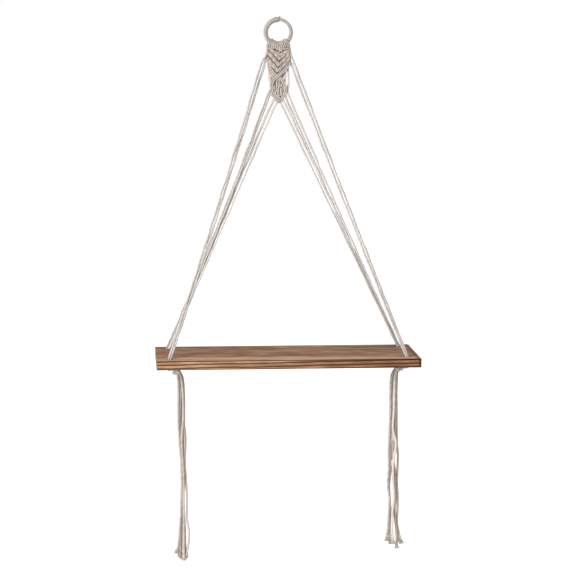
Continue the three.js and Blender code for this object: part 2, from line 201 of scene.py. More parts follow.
# Bands of strands side by side: how deep each lies, and its middle in x and z. It starts sunk under what
# covers it there, and rises from it.
BANDS = [
    (-2.4, [
        (18.2, -61), (16.9, -67.6), (14.2, -72.4), (10.2, -77), (4.6, -82), (-2.6, -88.2), (-7.4, -93),
        (-10.4, -99.4), (-11, -105), (-10, -111), (-7.6, -117), (-3.6, -122.6), (1.4, -128.4),
    ]),
    (-1.2, [
        (-15.4, -70), (-11.4, -76.4), (-7.6, -81.6), (-2.6, -86), (1.4, -88.4), (5.2, -91.6), (8.2, -96.4),
        (10.4, -101.4), (11.7, -107), (11.4, -112.6), (9.6, -117.8), (5.8, -123), (2, -128.4),
    ]),
    (-0.6, [(-14.6, -65), (-14.6, -74), (-12, -81), (-8.2, -86.4), (-6, -90)]),
    (0.4, [(-13.6, -76), (-13, -84), (-11.8, -92), (-10.6, -100), (-10.8, -108)]),
]
BAND = {
    "lanes": (-0.5, 0.5), "apart": 2.6, "across": 2.9, "lay": 8, "sunk": 3.2, "rises_over": 12, "step": 2.0,
}

# The strands that show inside the leaf, x, y, z
LEAF_STRANDS = [
    [(0, 0, -89), (-1.9, -0.6, -95), (-1.4, -1, -101), (-2.6, -0.4, -106), (-3, -1, -111),
     (-2.6, -0.8, -116), (-1.2, -0.6, -122), (1.4, 0, -127)],
    [(1.4, 0.6, -89), (2, -0.4, -96), (1, -0.8, -102), (0.6, -0.8, -107), (-0.6, -0.6, -113.6),
     (0.2, -0.8, -119), (1.8, 0, -127)],
    [(2.4, 0.8, -92), (5, -0.2, -99), (3.6, -0.8, -104), (3.2, -0.8, -110.4), (2.6, -0.6, -116),
     (2.4, 0, -124)],
    [(-4.4, 0.6, -93), (-5.4, -0.2, -100), (-5.2, -0.8, -105.4), (-6.2, -0.2, -110), (-5.4, 0.4, -117)],
    [(-6.6, 0.6, -115), (-3, -1.8, -117.4), (0, -2.8, -119.4), (3.2, -2, -122.4), (4.6, 0.6, -124.6)],
    [(7.6, 0.6, -107), (7, -0.6, -111), (5.8, -1.2, -115.6), (1.6, -1.2, -118), (-3.6, 0.4, -120)],
    [(7.2, 1, -99), (7.6, -0.2, -104), (7.4, -0.4, -110), (6.4, 0.4, -117)],
    [(-7.6, 0.8, -100), (-8, 0, -105), (-8, 0, -111), (-6, 0.4, -118)],
]
# Short turns that bulge out of the leaf: middle x and z, how tall, how far to the right the foot lies
LEAF_KNOTS = [
    (-2.4, -99.6, 9, -0.6), (1.6, -100.5, 6, 0.4), (-6.6, -105.6, 5.4, 0.4), (-4.6, -114, 8.4, 0.4),
    (0.4, -109, 5, 0.2), (4.6, -110.4, 8.4, -0.6), (0.2, -115.6, 4.6, 0.8), (5, -101.6, 4.4, 1.2),
]
LEAF_KNOT_SIDE = [(-1, 1.2), (-0.8, -1.6), (0, -2.8), (0.8, -1.6), (1, 1.2)]  # share of half its height, y
LEAF_STRAND = {"across": 2.8, "lay": 7.5}
LEAF_KNOT = {"across": 3, "lay": 7.5, "tone": 0.7}

# Rows of strands behind the leaf and behind the hitches, every second one further back by the stagger.
# Each row of half_widths is a height and the half width there, of which the outer strands take a share.
LEAF_LININGS = {
    "strands_in_row": 7, "y": 1.4, "stagger": 1.1, "widest": 0.86, "seed": 450,
    "half_widths": [
        (-86, 5), (-94, 7.2), (-100, 9.4), (-106, 10), (-112, 9.6), (-118, 7.4), (-124, 4.2), (-129, 1.6),
    ],
}
BACKING = {
    "strands_in_row": 15, "y": 2.0, "stagger": 0.9, "widest": 1, "seed": 400,
    "half_widths": [(-40, 16.6), (-50, 15.4), (-58, 14.6), (-66, 13.2), (-74, 11.6), (-82, 9.6), (-90, 7)],
}
LINING_ACROSS = 3

# The lark's heads: how far round the ring they spread, how clear of it their legs go round it, the V that
# the legs end in, by its point and its slope, the height that none ends above, and their depths
LARKS_HEADS = {
    "strands": 12, "spread": 44, "pair_pitch": 6.35, "in_pair": 2.9, "across": 3.25, "tones": (0.1, 0.6),
    "clear": 0.2, "degrees": (110, 70, 35, 0, -35, -70, -100), "apex": (3, -48.4), "slope": 0.98,
    "shortest": -40, "slack": 0.8, "front_y": (-4.4, -2.6), "back_y": (2.6, 4.4),
}
# Their bar, which follows the ring just under it
UNDER_RING = {"radius": 25.2, "y": 0.8, "degrees": range(-36, 37, 12), "across": 3, "tone": 0.4}
# The straight holding strand in front of the legs, x, y, z
CROSS_STRAND = {
    "places": [
        (-17.6, -0.6, -44), (-18.6, -3.2, -43.4), (-11.9, -4.8, -42.2), (-5.2, -4.6, -42),
        (-0.3, -4.4, -44.2), (7.7, -4.8, -43.9), (14.6, -4.4, -42.4), (18, -3, -42), (17.4, 0, -42.6),
    ],
    "across": 2.6, "lay": 8, "tone": 0.35,
}

# Under the board: the gathering knot, the lump of its last loop, and the six tails. Each row of the tassel is
# a height and each tail's x there. Each tail has its depth in the bundle and its free end, x, y, z.
TASSELS = {
    "left": {
        "tone": 0.5,
        "knot": (-166, -554),
        "lean": 4.4,
        "lump": (-169.9, -559.4),
        "rows": [
            (-566, -164.4, -162.7, -160.8, -159.2, -156.9, -157.4),
            (-591, -163.7, -160.3, -158.5, -156.3, -154.4, -155),
            (-631, -164.1, -161.5, -159.2, -155.5, -154, -155.6),
            (-666, -162.8, -160.5, -157.1, -158.2, -154, -151.9),
            (-712, -159.4, -157.6, -158.5, -156.1, -152.7, -153.4),
            (-737, -158.9, -158.5, -158, -155, -151.1, -154.4),
            (-765, -159.2, -156.9, -159.2, -155.5, -149.4, -156),
            (-802, -160.8, -158.5, -158, -155, -149.5, -154.4),
            (-825, -162.7, -160.2, -157.6, -155, -146.3, -152.7),
            (-843, -164.4, -161.1, -158.2, -155.3, -147.4, -152.7),
        ],
        "depths": (-3.2, 0, 3.2, -3.2, 0, 3.2),
        "ends": [
            (-167.4, -59, -858), (-161.8, -55, -865), (-157.9, -53, -869.4),
            (-154.7, -60, -869.4), (-151.4, -57, -864), (-152.7, -53, -868),
        ],
    },
    "right": {
        "tone": 0.36,
        "knot": (193.4, -553.6),
        "lean": -4,
        "lump": (198.2, -556.8),
        "rows": [
            (-567, 182.6, 185, 188.1, 190.1, 192.8, 189.3),
            (-596, 181, 184, 187.3, 189.6, 192, 188.6),
            (-626, 181, 184, 187.1, 190.5, 192.8, 189),
            (-656, 180.3, 183.6, 186.1, 190.1, 193.3, 188.5),
            (-680, 179.6, 183.4, 191.5, 187.8, 194.3, 188.8),
            (-702, 179.6, 182.6, 188.5, 186.8, 196.1, 186.8),
            (-725, 180.2, 183.6, 187.3, 190.3, 195.9, 191),
            (-750, 179.3, 182, 188.3, 191.8, 195.6, 192),
            (-772, 181.8, 183, 189.6, 191.4, 196.9, 193),
            (-794, 181.4, 184.2, 187.6, 191.6, 197.1, 192),
            (-816, 180.6, 183.6, 187.6, 193.6, 196.6, 194.4),
            (-834, 179.2, 184, 188, 195.4, 200, 197.6),
        ],
        "depths": (-3.2, 0, -3.2, 0, 3.2, 3.2),
        "ends": [
            (178.4, -60, -844), (185.6, -57, -850), (188.8, -60, -849),
            (196.3, -56, -858), (204.6, -53, -851), (200.4, -54, -848),
        ],
    },
}
# The knot's turns fill a share of its height, narrow to its top and foot, and lean across each other.
# The lump's turns go round axes of their own, in front of the bundle.
# The knot's and the lump's light tones are painted light against the board's shadow on them.
KNOT = {
    "height": 12, "filled": 0.8, "across": 13.0, "turns": 4, "narrows": 1.1, "lean": 2.4, "phase": 0.9,
    "tone": 0.8, "degrees": range(-175, 176, 25),
}
LUMP = {
    "across": 8.4, "strand": 2.8, "tone": 0.9, "front": 2.5, "degrees": range(0, 361, 30),
    "axes": ((0.9, 0.3, 0.3), (-0.5, 0.2, 0.85), (0.2, 0.4, -0.9)),
}
# The strands loosen where they hang free. Each starts a share of the way from the knot to its first place.
# The tails that lie behind the front ones in the left tassel have lighter tones: painted light against the
# shade of the tails in front.
TAIL = {"across": 4.5, "lay": 13.0, "tones": (0, 0.65, 0.65, -0.1, 0.2, 0.6), "root_share": 0.3}
# The untwisted end of a tail: how far up it starts, its yarns and how much of their thickness is left at
# their tips, how far they lie apart at their start and spread at their end, how much of that spread they
# have halfway, how flat the brush is, and each yarn's share of the spread and its end past the tail's
BRUSH = {
    "root": 11, "yarns": 110, "yarn": 1.1, "tip": 0.7, "sides": 6, "step": 1.5, "tones": (0, 0.6),
    "start": 1.2, "spread": 4.4, "halfway": 0.4, "flat": 0.7, "reach": (0.85, 1.1), "beyond": (-1.6, 1.2),
}

# The twisted cord: three plies, laid round each other once in every lay
PLIES = 3
LAY = 9.0
GROOVE = 0.19  # depth between two plies, as a share of the radius
SIDES = 12
STEP = 0.8
FINE_STEP = 0.6  # where a strand turns sharply
PHASES = (0, 6.28)  # in radians, how far a strand's plies are turned where it starts
DRIFT_WAVES = (31.0, 53.0, 87.0)
DRIFT_EASE = 30  # how far from its ends a strand drifts less
CURVE_POINTS = 24  # between two places, before they are evened out
TONES_APART = 10  # how far apart strands one tone apart lie in the noise of the fibres
# The first seed of each kind of strand, how many each arm's turns take up, and what a twist adds to them
SEEDS = {
    "pair": 20, "arm": 40, "turns": 100, "leg": 300, "cross": 390, "bar": 391, "band": 500, "leaf": 600,
    "leaf_knot": 640, "knot": 700, "lump": 730, "tail": 800, "brush": 900, "twist": 1000,
}


# Strands

def smooth(places, step):
    """Points a step apart on a smooth centripetal curve through the places."""
    places = np.asarray(places, float)
    ends = np.vstack([2 * places[0] - places[1], places, 2 * places[-1] - places[-2]])
    dense = []
    for p in zip(ends, ends[1:], ends[2:], ends[3:]):
        knots = np.cumsum([0] + [math.sqrt(np.linalg.norm(b - a)) + 1e-6 for a, b in zip(p, p[1:])])
        t = np.linspace(knots[1], knots[2], CURVE_POINTS, endpoint=False)[:, None]

        def blend(a, b, i, j):
            return (a * (knots[j] - t) + b * (t - knots[i])) / (knots[j] - knots[i])

        low, middle, high = blend(p[0], p[1], 0, 1), blend(p[1], p[2], 1, 2), blend(p[2], p[3], 2, 3)
        dense.append(blend(blend(low, middle, 0, 2), blend(middle, high, 1, 3), 1, 2))
    dense = np.vstack(dense + [places[-1:]])
    reach = np.concatenate([[0], np.cumsum(np.linalg.norm(np.diff(dense, axis=0), axis=1))])
    stations = np.linspace(0, reach[-1], max(4, round(reach[-1] / step) + 1))
    return np.column_stack([np.interp(stations, reach, dense[:, i]) for i in range(3)])


def carried_frame(path):
    """Two directions across the path at each point, carried along it without turning."""
    tangents = np.gradient(path, axis=0)
    tangents /= np.linalg.norm(tangents, axis=1)[:, None]
    side = np.cross(tangents[0], (0.31, -0.9, 0.29))  # a direction that no strand starts in
    across = np.empty_like(path)
    for i, tangent in enumerate(tangents):
        side = side - tangent * side.dot(tangent)
        side /= np.linalg.norm(side)
        across[i] = side
    return across, np.cross(tangents, across)


def wander(count, step, size, seed):
    """A slow random drift of a hand-laid strand, as offsets in three directions."""
    rng = np.random.default_rng(seed)
    along = np.arange(count) * step
    drift = np.zeros((count, 3))
    for wave in DRIFT_WAVES:
        phase = rng.uniform(0, 2 * math.pi, 3)
        drift += np.sin(2 * math.pi * along[:, None] / wave + phase) * size / 3
    return drift * np.minimum(1, np.minimum(along, along[::-1]) / DRIFT_EASE)[:, None]


class Strands:
    """Strands gathered into one mesh, with what their material reads from each point."""

    def __init__(self):
        self.points, self.faces, self.fibre, self.groove, self.tone = [], [], [], [], []
        self.count = 0

    def add_tube(self, path, radii, turn, plies, sides, tone, depth=GROOVE):
        """A closed tube along the path, with its radius at each point, or one radius for all of them."""
        across, beside = carried_frame(path)
        stations = len(path)
        angles = 2 * math.pi * np.arange(sides) / sides
        crest = np.abs(np.cos(plies / 2 * angles)) if plies else np.ones(sides)
        radius = np.broadcast_to(radii, stations)[:, None] * (1 - depth * (1 - crest))[None, :]
        angle = angles[None, :] + turn[:, None]
        rings = path[:, None, :] + radius[..., None] * (
            np.cos(angle)[..., None] * across[:, None, :] + np.sin(angle)[..., None] * beside[:, None, :]
        )
        index = self.count + np.arange(stations * sides).reshape(stations, sides)
        following = np.roll(index, -1, axis=1)
        quads = np.stack([index[:-1], following[:-1], following[1:], index[1:]], axis=-1).reshape(-1, 4)
        self.faces += quads.tolist()
        self.faces.append(index[0, ::-1].tolist())
        self.faces.append(index[-1].tolist())
        self.points.append(rings.reshape(-1, 3))
        along = np.concatenate([[0], np.cumsum(np.linalg.norm(np.diff(path, axis=0), axis=1))])
        fibre = np.zeros((stations, sides, 3))
        fibre[..., 0] = along[:, None]
        fibre[..., 1] = (angles * STRAND / 2)[None, :]
        fibre[..., 2] = TONES_APART * tone
        self.fibre.append(fibre.reshape(-1, 3))
        # Where each point lies in the groove between plies, which the material darkens as painted shade
        self.groove.append(np.broadcast_to(1 - crest, (stations, sides)).ravel())
        self.tone.append(np.full(stations * sides, tone))
        self.count += stations * sides

    def add(self, places, across=STRAND, lay=LAY, step=STEP, drift=0.0, seed=0, tone=None, depth=GROOVE):
        """A twisted strand through the places. Its tone is drawn where none is given."""
        path = smooth(places, step)
        if drift:
            path = path + wander(len(path), step, drift, seed)
        rng = np.random.default_rng(seed + SEEDS["twist"])
        turn = 2 * math.pi * np.arange(len(path)) * step / lay + rng.uniform(*PHASES)
        drawn = rng.uniform()
        self.add_tube(path, across / 2, turn, PLIES, SIDES, drawn if tone is None else tone, depth)
        return path

    def piece(self, name, material, slot, *nodes):
        """The finished mesh, which rides on the part and stands for those nodes."""
        mesh = bpy.data.meshes.new(name)
        mesh.from_pydata((np.vstack(self.points) * MM).tolist(), [], self.faces)
        for label, kind, values in (
            ("fibre", "FLOAT_VECTOR", np.vstack(self.fibre)),
            ("groove", "FLOAT", np.concatenate(self.groove)),
            ("tone", "FLOAT", np.concatenate(self.tone)),
        ):
            attribute = mesh.attributes.new(label, kind, "POINT")
            field = "vector" if kind == "FLOAT_VECTOR" else "value"
            attribute.data.foreach_set(field, values.astype(np.float32).ravel())
        mesh.shade_smooth()
        mesh.materials.append(material)
        made = bpy.data.objects.new(name, mesh)
        bpy.context.scene.collection.objects.link(made)
        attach(made, "root")
        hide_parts(*nodes)


# Materials

def srgb(red, green, blue):
    """A colour read in 0 to 255 as the linear values that a shader takes."""
    linear = [((c / 255 + 0.055) / 1.055) ** 2.4 if c > 10 else c / 255 / 12.92 for c in (red, green, blue)]
    return (*linear, 1)


def grey(value):
    return (value, value, value, 1)


BLACK, WHITE = grey(0), grey(1)

# Each use of the cotton: its material, its colours and how much painted shade darkens its grooves
COTTONS = {
    "head": {
        "name": "knotted_cotton", "groove_shading": 0.45,
        "shadow": srgb(112, 97, 86), "body": srgb(156, 147, 139), "light": srgb(178, 169, 161),
    },
    "slings": {
        "name": "cord_cotton", "groove_shading": 0.14,
        "shadow": srgb(124, 113, 105), "body": srgb(164, 159, 154), "light": srgb(190, 185, 180),
    },
    "tassels": {
        "name": "tail_cotton", "groove_shading": 0.35,
        "shadow": srgb(118, 102, 91), "body": srgb(164, 154, 145), "light": srgb(190, 181, 173),
    },
}
# A noise has its scales in three directions, its detail and its roughness. On a strand the directions are
# along it, round it, and from one strand to the next. Shares say how much each noise and the tone count.
COTTON_FIBRES = {"scales": (0.8, 6.4, 1.6), "detail": 4, "rough": 0.6}
COTTON_PATCHES = {"scales": (0.03, 0.15, 1.0), "detail": 2, "rough": 0.5}
COTTON_SHARES = {"fibres": 0.3, "patches": 0.4, "tone": 0.3}
COTTON_STOPS = (0.3, 0.5, 0.76)  # where the shadow, body and light colours lie
GROOVE_SHADE_POWER = 1.6  # keeps the painted shade at the bottom of a groove

WINDING_FIBRES = {"scales": (2.4, 6.0, 2.0), "detail": 4, "rough": 0.6}
WINDING_PATCHES = {"scales": (0.12, 0.12, 1.0), "detail": 3, "rough": 0.5}
WINDING_SHARES = {"fibres": 0.4, "patches": 0.6}
WINDING_COLOURS = [(0.3, srgb(116, 111, 106)), (0.5, srgb(136, 132, 128)), (0.72, srgb(154, 150, 146))]
# The worn thread's tan; then the dark colour of the painted shade in the winding's grooves and on the ring's
# inner side, and how far toward it they go
WINDING_TAN, WINDING_SHADE = srgb(136, 122, 112), srgb(92, 86, 80)
WINDING_SHADE_SHARE = 0.45

# The wood's noises, with their scales along, across and down the board
WOOD_NOISES = {
    "waves": {"scales": (14.0, 14.0, 14.0), "detail": 5, "rough": 0.62},
    "fibres": {"scales": (14.0, 900.0, 900.0), "detail": 5, "rough": 0.65},
    "streaks": {"scales": (4.0, 150.0, 150.0), "detail": 4, "rough": 0.6},
    "patches": {"scales": (22.0, 110.0, 110.0), "detail": 3, "rough": 0.5},
}
GRAIN_SHARES = {"fibres": 0.3, "streaks": 0.35, "patches": 0.35}
TOP_WOOD = [(0.44, srgb(88, 59, 40)), (0.5, srgb(115, 82, 58)), (0.56, srgb(142, 108, 82))]
EDGE_WOOD = [(0.41, srgb(122, 88, 62)), (0.5, srgb(146, 111, 83)), (0.59, srgb(174, 139, 109))]
PALE_WOOD, LATE_WOOD, END_WOOD = srgb(158, 128, 106), srgb(44, 23, 12), srgb(84, 70, 60)
EDGE_FROM = 0.35  # the depth below the top where the edges' look starts
# The pale stretch along the front of the top, and how the grain shows in it
PALE_BAND = {"from_y": -86, "to_y": -104, "grain": 1.2, "patches": 0.4}
# Growth rings, counted down from the top face: the distance between them, where the first lies, and how
# they climb along and across the board
RINGS = {
    "pitch": 5.7, "fine_pitch": 1.9, "start": -5.56, "rise_along": 0.0115, "rise_inward": 0.11, "wave": 3.4,
}
# How dark a ring's late wood is from one side of the ring to the other, and the fine lines between
LATE_PROFILE = [
    (0.0, grey(0.1)), (0.3, BLACK), (0.48, grey(0.15)), (0.66, grey(0.7)), (0.78, WHITE), (0.97, WHITE),
    (1.0, grey(0.1)),
]
FINE_PROFILE = [(0.0, BLACK), (0.5, grey(0.1)), (0.8, WHITE), (1.0, BLACK)]
# The strength of the lines on the faces, what the edges add, and how the streaks break the lines up
LATE_LINES = {"faces": 0.26, "edges_add": 0.66, "streaks": (0.3, 0.52), "least": 0.65, "streaks_add": 0.4}
FINE_LINES = 0.56  # on the edges only
ARRIS_LINE = {"to": 1.9, "share": 0.9}  # the first dark line on the edges, this deep
END_GRAIN = {"within": 0.3, "share": 0.6}  # the two ends of the board
LOW_LINE = {"from": 12.6, "to": 14.0, "streaks": (0.38, 0.55), "share": 0.9}
DARK_END = {"from_x": -60, "to_x": 150, "times": (0.57, 0.46, 0.39, 1)}
# Where the right end is dark, on the front edge and on the top, and pale along the top's arris
RIGHT_END = [
    {"edge": True, "from_x": 214.5, "to_x": 219, "share": 0.8, "colour": LATE_WOOD},
    {"edge": False, "from_x": 211, "to_x": 216, "share": 0.6, "colour": LATE_WOOD},
    {"edge": False, "from_x": 217.6, "to_x": 218.6, "share": 0.8, "colour": PALE_WOOD},
]
LATE_RELIEF = 0.5  # how far the late wood stands back behind the fibres, as a share of their height


class Paint:
    """A material in the making. Its methods take numbers, colours and other nodes' outputs as values."""

    def __init__(self, name):
        self.material = bpy.data.materials.new(name)
        self.material.use_nodes = True
        self.nodes = self.material.node_tree.nodes
        self.links = self.material.node_tree.links

    def give(self, socket, value):
        if isinstance(value, (int, float, tuple)):
            socket.default_value = value
        else:
            self.links.new(value, socket)

    def finish(self, **looks):
        """The material, with its surface's inputs, in whose names an underscore stands for a space."""
        for name, value in looks.items():
            self.give(self.nodes["Principled BSDF"].inputs[name.replace("_", " ")], value)
        return self.material

    def attribute(self, name, output="Fac"):
        made = self.nodes.new("ShaderNodeAttribute")
        made.attribute_name = name
        return made.outputs[output]

    def noise(self, vector, scales, detail, rough):
        stretched = self.nodes.new("ShaderNodeMapping")
        stretched.inputs["Scale"].default_value = scales
        self.links.new(vector, stretched.inputs["Vector"])
        made = self.nodes.new("ShaderNodeTexNoise")
        made.inputs["Scale"].default_value = 1
        made.inputs["Detail"].default_value = detail
        made.inputs["Roughness"].default_value = rough
        self.links.new(stretched.outputs["Vector"], made.inputs["Vector"])
        return made.outputs["Fac"]

    def ramp(self, value, stops):
        made = self.nodes.new("ShaderNodeValToRGB")
        elements = made.color_ramp.elements
        while len(elements) < len(stops):
            elements.new(0.5)
        for element, (place, colour) in zip(elements, stops):
            element.position = place
            element.color = colour
        self.links.new(value, made.inputs["Fac"])
        return made.outputs["Color"]

    def maths(self, operation, *values):
        made = self.nodes.new("ShaderNodeMath")
        made.operation = operation
        for socket, value in zip(made.inputs, values):
            self.give(socket, value)
        return made.outputs[0]

    def product(self, first, *others):
        for value in others:
            first = self.maths("MULTIPLY", first, value)
        return first

    def total(self, *parts):
        """The sum of values, each given with its weight."""
        first, *others = [self.product(value, weight) for value, weight in parts]
        for value in others:
            first = self.maths("ADD", first, value)
        return first

    def share_of(self, value, length):
        """How far a value has come through its present length, from 0 to 1."""
        return self.maths("FRACT", self.maths("DIVIDE", value, length))

    def eased(self, value, start, end):
        """0 up to the start, 1 from the end on, and smooth between them."""
        made = self.nodes.new("ShaderNodeMapRange")
        made.interpolation_type = "SMOOTHSTEP"
        made.inputs["From Min"].default_value = start
        made.inputs["From Max"].default_value = end
        self.links.new(value, made.inputs["Value"])
        return made.outputs["Result"]

    def mix(self, share, under, over, blend="MIX"):
        made = self.nodes.new("ShaderNodeMix")
        made.data_type = "RGBA"
        made.blend_type = blend
        factor, first, second = (made.inputs[number] for number in (0, 6, 7))
        for socket, value in ((factor, share), (first, under), (second, over)):
            self.give(socket, value)
        return made.outputs[2]

    def bump(self, height, distance, strength):
        made = self.nodes.new("ShaderNodeBump")
        made.inputs["Distance"].default_value = distance
        made.inputs["Strength"].default_value = strength
        self.links.new(height, made.inputs["Height"])
        return made.outputs["Normal"]


def cotton_material(name, shadow, body, light, groove_shading):
    """Twisted cotton: fibres run along each ply, the grooves are darkened with painted shade, and each strand
    has its own tone.
    """
    paint = Paint(name)
    strand = paint.attribute("fibre", "Vector")
    fibres, patches = (paint.noise(strand, **row) for row in (COTTON_FIBRES, COTTON_PATCHES))
    parts = (fibres, patches, paint.attribute("tone"))
    stops = list(zip(COTTON_STOPS, (shadow, body, light)))
    colour = paint.ramp(paint.total(*zip(parts, COTTON_SHARES.values())), stops)
    deep = paint.product(paint.maths("POWER", paint.attribute("groove"), GROOVE_SHADE_POWER), groove_shading)
    return paint.finish(
        Base_Color=paint.mix(deep, colour, shadow), Normal=paint.bump(fibres, distance=0.0003, strength=0.5),
        Roughness=0.95, Sheen_Weight=0.1, Sheen_Roughness=0.5, Specular_IOR_Level=0.1,
    )


def winding_material():
    """Fine thread wound on the ring, greyer than the cord and tan where the winding ends thick, with painted
    shade in its grooves and on the ring's inner side.
    """
    paint = Paint("fine_winding")
    thread = paint.attribute("fibre", "Vector")
    parts = [paint.noise(thread, **row) for row in (WINDING_FIBRES, WINDING_PATCHES)]
    colour = paint.ramp(paint.total(*zip(parts, WINDING_SHARES.values())), WINDING_COLOURS)
    worn = paint.mix(paint.attribute("tone"), colour, WINDING_TAN)
    deep = paint.product(paint.attribute("groove"), WINDING_SHADE_SHARE)
    return paint.finish(
        Base_Color=paint.mix(deep, worn, WINDING_SHADE),
        Normal=paint.bump(parts[0], distance=0.0002, strength=0.4),
        Roughness=0.9, Sheen_Weight=0.1, Specular_IOR_Level=0.15,
    )


def wood_colour(paint, noises, late, fine, along, inward, depth):
    """The board's colour: its grain, the lines of the rings over it, and the marks of its edges and ends."""
    streaks, patches = noises["streaks"], noises["patches"]
    edge = paint.maths("GREATER_THAN", depth, EDGE_FROM * MM)
    face = paint.maths("SUBTRACT", 1, edge)
    grain = paint.total(*((noises[name], share) for name, share in GRAIN_SHARES.items()))
    band = paint.eased(inward, PALE_BAND["from_y"] * MM, PALE_BAND["to_y"] * MM)
    pale = paint.product(band, paint.total((grain, PALE_BAND["grain"]), (patches, PALE_BAND["patches"])))
    top = paint.mix(pale, paint.ramp(grain, TOP_WOOD), PALE_WOOD)
    body = paint.mix(edge, top, paint.ramp(grain, EDGE_WOOD))
    strength = paint.maths("ADD", paint.product(edge, LATE_LINES["edges_add"]), LATE_LINES["faces"])
    whole = paint.product(paint.eased(streaks, *LATE_LINES["streaks"]), LATE_LINES["streaks_add"])
    whole = paint.maths("ADD", whole, LATE_LINES["least"])
    arris = paint.product(edge, paint.maths("LESS_THAN", depth, ARRIS_LINE["to"] * MM), ARRIS_LINE["share"])
    from_middle = paint.maths("ABSOLUTE", paint.maths("SUBTRACT", along, BOARD["shift"] * MM))
    at_end = paint.maths("GREATER_THAN", from_middle, (BOARD["width"] / 2 - END_GRAIN["within"]) * MM)
    for share, colour in (
        (paint.product(late, strength, whole), LATE_WOOD),
        (paint.product(fine, edge, FINE_LINES), LATE_WOOD),
        (arris, LATE_WOOD),
        (paint.product(at_end, END_GRAIN["share"]), END_WOOD),
    ):
        body = paint.mix(share, body, colour)
    darker = paint.product(paint.eased(along, DARK_END["from_x"] * MM, DARK_END["to_x"] * MM), edge)
    body = paint.mix(darker, body, DARK_END["times"], "MULTIPLY")
    low = paint.eased(depth, LOW_LINE["from"] * MM, LOW_LINE["to"] * MM)
    low = paint.product(low, paint.eased(streaks, *LOW_LINE["streaks"]), LOW_LINE["share"])
    body = paint.mix(low, body, LATE_WOOD)
    for mark in RIGHT_END:
        near = paint.eased(along, mark["from_x"] * MM, mark["to_x"] * MM)
        near = paint.product(near, edge if mark["edge"] else face, mark["share"])
        body = paint.mix(near, body, mark["colour"])
    return body


def wood_material():
    """A flat-sawn board: growth rings nearly flat in it, so the long edges show strong dark lines."""
    paint = Paint("oiled_wood")
    place = paint.nodes.new("ShaderNodeTexCoord").outputs["Object"]
    parts = paint.nodes.new("ShaderNodeSeparateXYZ")
    paint.links.new(place, parts.inputs[0])
    along, inward, height = parts.outputs
    noises = {name: paint.noise(place, **row) for name, row in WOOD_NOISES.items()}
    depth = paint.maths("SUBTRACT", BOARD["top"] * MM, height)
    rise = paint.total(
        (depth, 1), (along, RINGS["rise_along"]), (inward, RINGS["rise_inward"]),
        (noises["waves"], RINGS["wave"] * MM),
    )
    rise = paint.maths("ADD", rise, RINGS["start"] * MM)
    late = paint.ramp(paint.share_of(rise, RINGS["pitch"] * MM), LATE_PROFILE)
    fine = paint.ramp(paint.share_of(rise, RINGS["fine_pitch"] * MM), FINE_PROFILE)
    relief = paint.maths("SUBTRACT", noises["fibres"], paint.product(late, LATE_RELIEF))
    return paint.finish(
        Base_Color=wood_colour(paint, noises, late, fine, along, inward, depth),
        Normal=paint.bump(relief, distance=0.0002, strength=0.35), Roughness=0.75, Specular_IOR_Level=0.15,
    )


cottons = {use: cotton_material(**row) for use, row in COTTONS.items()}
winding = winding_material()
wood = wood_material()


# The wrapped ring

def wind_thread(made):
    """The ring's surface, ridged by the thread that is wound round it turn beside turn."""
    sides, per_turn = WINDING["sides"], WINDING["steps_per_turn"]
    stations = round(2 * math.pi * RING["mean"] / WINDING["pitch"] * per_turn)
    clock = np.linspace(-180, 180, stations, endpoint=False)
    across = np.interp(clock, *zip(*RING_SECTIONS))
    angle = np.radians(clock)
    outward = np.column_stack([np.sin(angle), np.zeros(stations), np.cos(angle)])
    middle = outward * RING["mean"] + RING_CENTRE
    section = 2 * math.pi * np.arange(sides) / sides
    thread = 2 * math.pi * np.arange(stations)[:, None] / per_turn + section[None, :]
    crest = np.abs(np.cos(thread / 2))
    radius = across[:, None] / 2 - WINDING["groove"] * (1 - crest)
    points = middle[:, None, :] + radius[..., None] * (
        np.cos(section)[None, :, None] * outward[:, None, :] + np.sin(section)[None, :, None] * FRONT
    )
    index = np.arange(stations * sides).reshape(stations, sides)
    beside, following = np.roll(index, -1, axis=1), np.roll(index, -1, axis=0)
    corner = np.roll(beside, -1, axis=0)
    made.points.append(points.reshape(-1, 3))
    made.faces += np.stack([index, following, corner, beside], axis=-1).reshape(-1, 4).tolist()
    fibre = np.zeros((stations, sides, 3))
    fibre[..., 0] = section[None, :] * across[:, None] / 2
    fibre[..., 1] = (np.arange(stations) / per_turn * WINDING["pitch"])[:, None]
    made.fibre.append(fibre.reshape(-1, 3))
    # Painted shade on the ring's inner side, most on the left and under the winding's thick end
    inner_side = np.clip(-np.cos(section), 0, 1)[None, :]
    inner_shade = inner_side * np.interp(clock, *zip(*INNER_SHADE_CLOCK))[:, None]
    # Painted shade: the material darkens the grooves between turns and the shaded inner side
    made.groove.append((1 - crest + inner_shade).ravel())
    made.tone.append(np.repeat(np.interp(clock, *zip(*WORN_CLOCK)), sides))
    made.count += stations * sides


def end_thread(made):
    """The winding's own end, which sticks out beside the ring's top."""
    clock = math.radians(WRAP_END["clock"])
    out = np.array([math.sin(clock), 0, math.cos(clock)])
    root = out * RING["mean"] + RING_CENTRE
    tip = out * (RING["mean"] + RING["section"] / 2 + WRAP_END["reach"]) + RING_CENTRE
    places = [root, (root + tip) / 2, tip]
    made.add(places, across=WRAP_END["across"], step=WRAP_END["step"], lay=WRAP_END["lay"], tone=1)
    # Its whole surface counts as groove, so the material darkens it all over as much as the bottom of a
    # groove.
    made.groove[-1] = np.ones_like(made.groove[-1])


def wrapped_ring():
    made = Strands()
    wind_thread(made)
    end_thread(made)
    made.piece("wrapped_ring", winding, "wrapping", "hanging_ring")


wrapped_ring()


# The knotted head

def lift(route, y):
    """A route of x and z, at the depth y."""
    return [(x, y, z) for x, z in route]


def places_round(middle, axis, reach, degrees, lean, phase=0.0):
    """Places round an axis, turned by each of the degrees from its front, that lean to and fro along it."""
    up = np.cross(axis, FRONT)
    places = []
    for turned in degrees:
        angle = math.radians(turned)
        out = reach * (FRONT * math.cos(angle) + up * math.sin(angle))
        places.append(middle + out + axis * lean * math.sin(angle + phase))
    return places


